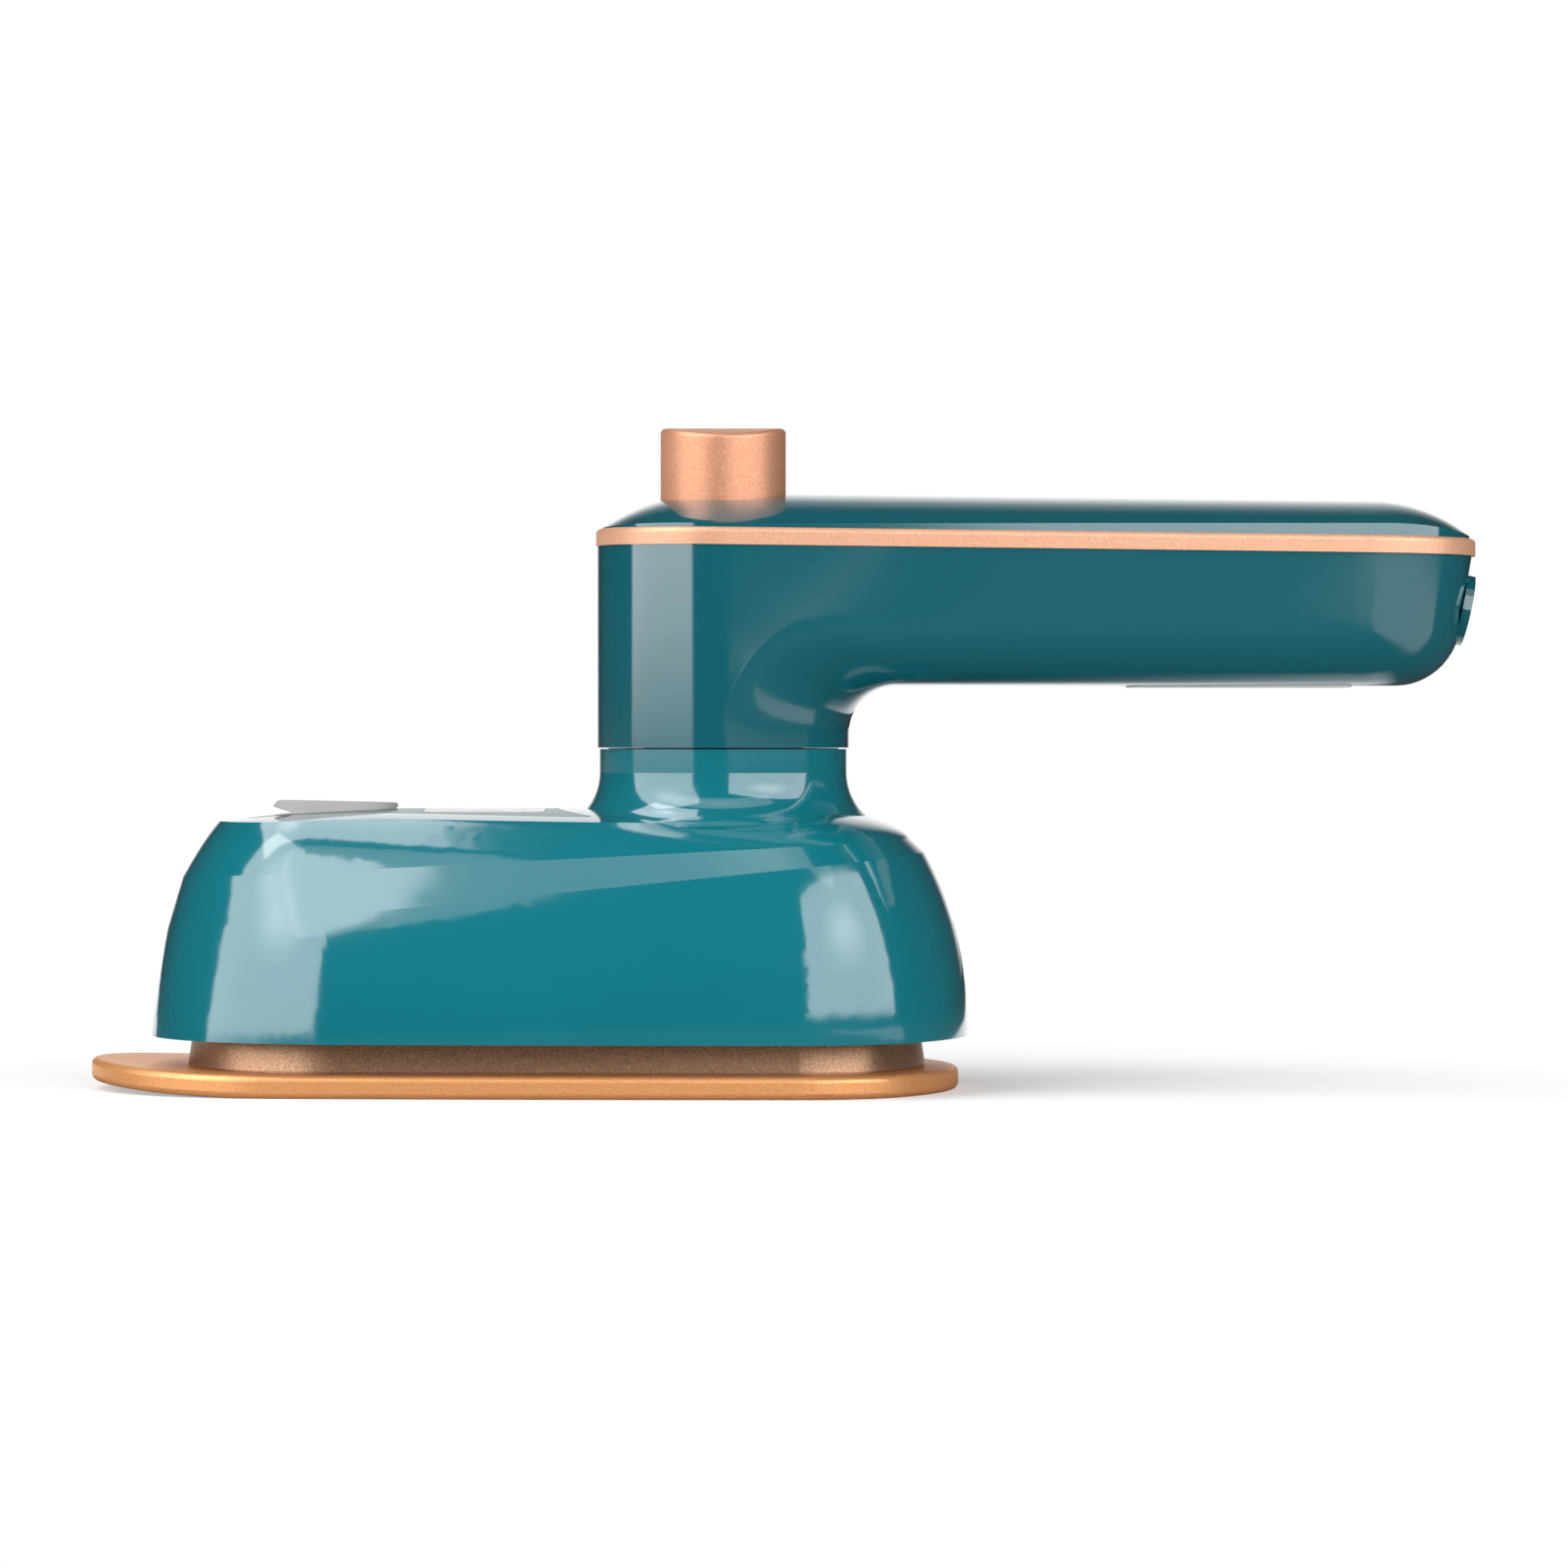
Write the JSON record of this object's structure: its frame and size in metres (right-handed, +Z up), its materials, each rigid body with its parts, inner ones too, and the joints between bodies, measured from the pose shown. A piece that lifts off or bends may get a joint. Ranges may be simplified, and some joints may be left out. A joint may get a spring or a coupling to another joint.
{
  "type": "mini travel iron",
  "caption": "Mini travel steam iron or heat press with a pointed sole, a faceted water base, a swivelling handle, a pump button and a filler plug.",
  "frame": {"origin": "on the handle's swivel axis at the level of the sole's flat face", "axes": "+X towards the end of the handle as it is used, tip of the sole towards -X, +Z up"},
  "size_m": [0.2076, 0.07, 0.0989],
  "materials": {
    "rose_metal": "satin metallic",
    "rose_trim": "gloss metallic",
    "bronze_casting": "fine sparkle",
    "green_shell": "gloss",
    "green_handle": "gloss",
    "green_inlay": "gloss",
    "clear_window": "gloss",
    "tank_plastic": "satin",
    "grey_silicone": "matte",
    "white_plastic": "satin",
    "black_plastic": "satin",
    "label_pale": "matte",
    "steel": "satin",
    "aluminium": "satin",
    "insulation": "matte",
    "nylon": "satin",
    "hose_rubber": "matte",
    "seal_rubber": "matte"
  },
  "bodies": {
    "base": {"sole_plate": "rose_metal", "heater_block": "bronze_casting", "heating_element": "steel", "chamber_cover": "aluminium", "heat_shield": "insulation", "thermostat": "steel", "thermal_fuse": "steel", "sole_screws": "steel", "base_plate": "black_plastic", "base_screws": "steel", "base_shell": "green_shell", "top_panel": "green_inlay", "water_window": "clear_window", "water_tank": "tank_plastic", "suction_tube": "hose_rubber", "drip_tube": "hose_rubber", "pump_body": "nylon", "pump_cap": "nylon", "pump_valves": "seal_rubber", "swivel_washer": "nylon"},
    "handle": {"handle_shell": "green_handle", "trim_ring": "rose_trim", "handle_cover": "green_handle", "cover_screws": "steel", "swivel_spigot": "black_plastic", "retaining_ring": "steel", "spigot_screws": "steel", "guide_plate": "nylon", "button_spring": "steel", "cord_gland": "green_handle", "cord_clamp": "white_plastic", "clamp_screws": "steel", "terminal_block": "white_plastic", "label_plate": "label_pale"},
    "button": {"steam_button": "rose_trim", "plunger_rod": "steel", "piston_seal": "seal_rubber"},
    "plug": {"filler_plug": "grey_silicone"}
  },
  "joints": [
    {"name": "handle_swivel", "type": "hinge", "parent": "base", "child": "handle", "pos_m": [0, 0, 0.0509], "axis": [0, 0, 1], "range_deg": [0, 180]},
    {"name": "button_press", "type": "slide", "parent": "handle", "child": "button", "axis": [0, 0, -1], "range_m": [0, 0.0055], "stiffness_N_per_m": 300, "springref_m": -0.004, "deforming": ["button_spring"]},
    {"name": "plug_lift", "type": "hinge", "parent": "base", "child": "plug", "pos_m": [-0.0493, 0, 0.04235], "axis": [0, 1, 0], "range_deg": [0, 115]}
  ]
}
